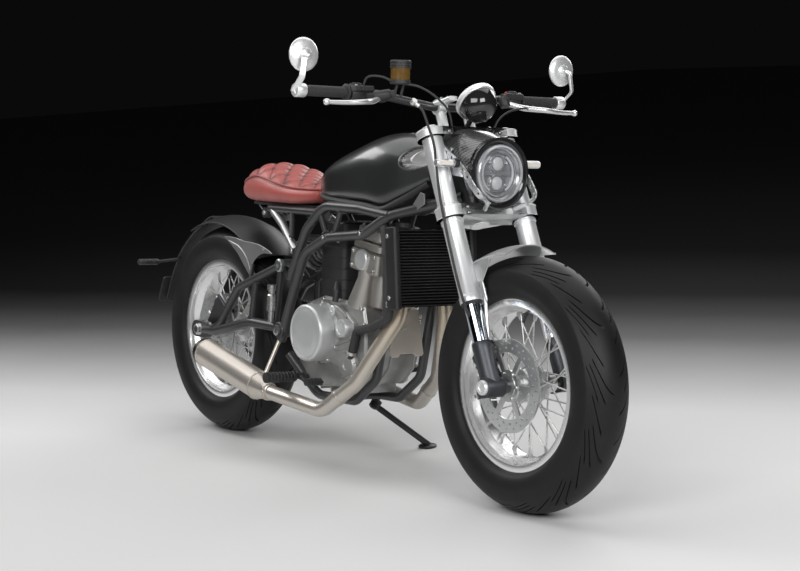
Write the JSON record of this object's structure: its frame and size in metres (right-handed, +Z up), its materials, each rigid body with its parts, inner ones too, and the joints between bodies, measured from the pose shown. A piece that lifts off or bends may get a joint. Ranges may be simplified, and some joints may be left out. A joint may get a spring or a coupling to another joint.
{
  "type": "bobber motorcycle",
  "caption": "Bobber motorcycle on its side stand: tubular frame, fat tyres on wire wheels, quilted leather seat, upright fork, twin low mufflers.",
  "frame": {"origin": "middle of the parked motorcycle's box, on the floor", "axes": "+X forward, +Y to the rider's left, +Z up"},
  "size_m": [2.1796, 0.9452, 1.2157],
  "materials": {
    "black_gloss": "carbon weave, gloss",
    "black_metallic": "metallic gloss",
    "black_plastic": "textured",
    "black_rubber": "matt",
    "chain_steel": "oiled",
    "cover_alloy": "satin",
    "dark_alloy": "anodised",
    "engine_alloy": "cast",
    "exhaust_steel": "brushed stainless",
    "fender_black": "satin black",
    "fork_alloy": "satin silver",
    "fork_lower": "satin",
    "frame_paint": "satin gunmetal",
    "hub_alloy": "machined",
    "mirror_alloy": "polished",
    "radiator_black": "matt black",
    "red_leather": "quilted, satin",
    "rim_alloy": "polished",
    "shock_steel": "satin",
    "spoke_steel": "bright",
    "tyre": "matt rubber"
  },
  "bodies": {
    "frame": {"headstock": "frame_paint", "frame_right": "frame_paint", "frame_left": "frame_paint", "cradle": "frame_paint", "seat_rails": "frame_paint", "swingarm_right": "frame_paint", "swingarm_left": "frame_paint", "rear_shock": "shock_steel", "crankcase": "engine_alloy", "cylinder_head": "engine_alloy", "engine_covers": "cover_alloy", "radiator": "radiator_black", "coolant_hoses": "black_rubber", "exhaust_right": "exhaust_steel", "exhaust_left": "exhaust_steel", "tank": "black_metallic", "seat": "red_leather", "rear_fender": "fender_black", "tail_hanger": "black_plastic", "foot_controls_right": "dark_alloy", "foot_controls_left": "dark_alloy", "airbox": "black_plastic", "rear_axle": "dark_alloy", "chain": "chain_steel"},
    "rear_wheel": {"rear_tyre": "tyre", "rear_rim": "rim_alloy", "rear_spokes": "spoke_steel", "rear_hub": "hub_alloy"},
    "steering": {"fork_outers": "fork_alloy", "fork_lowers": "fork_lower", "yokes": "dark_alloy", "handlebar": "dark_alloy", "bar_controls": "black_plastic", "mirrors": "mirror_alloy", "headlamp": "mirror_alloy", "nacelle": "black_gloss", "lamp_brackets": "rim_alloy", "gauge": "black_plastic", "front_fender": "rim_alloy", "front_axle": "dark_alloy"},
    "front_wheel": {"front_tyre": "tyre", "front_rim": "rim_alloy", "front_spokes": "spoke_steel", "front_hub": "hub_alloy"},
    "side_stand": {"side_stand": "frame_paint"}
  },
  "joints": [
    {"name": "steering", "type": "hinge", "parent": "frame", "child": "steering", "pos_m": [0.50019, -0.03262, 0.81281], "axis": [-0.4147, 0.0951, 0.905], "range_deg": [-30, 30]},
    {"name": "front_wheel_spin", "type": "hinge", "parent": "steering", "child": "front_wheel", "pos_m": [0.767, -0.08424, 0.32169], "axis": [0, 0.9945, -0.1045], "continuous": true},
    {"name": "rear_wheel_spin", "type": "hinge", "parent": "frame", "child": "rear_wheel", "pos_m": [-0.673, -0.08424, 0.32169], "axis": [0, 0.9945, -0.1045], "continuous": true},
    {"name": "side_stand_fold", "type": "hinge", "parent": "frame", "child": "side_stand", "pos_m": [-0.023, -0.01397, 0.1484], "axis": [0.0099, 0.6642, 0.7475], "range_deg": [0, 97]}
  ]
}
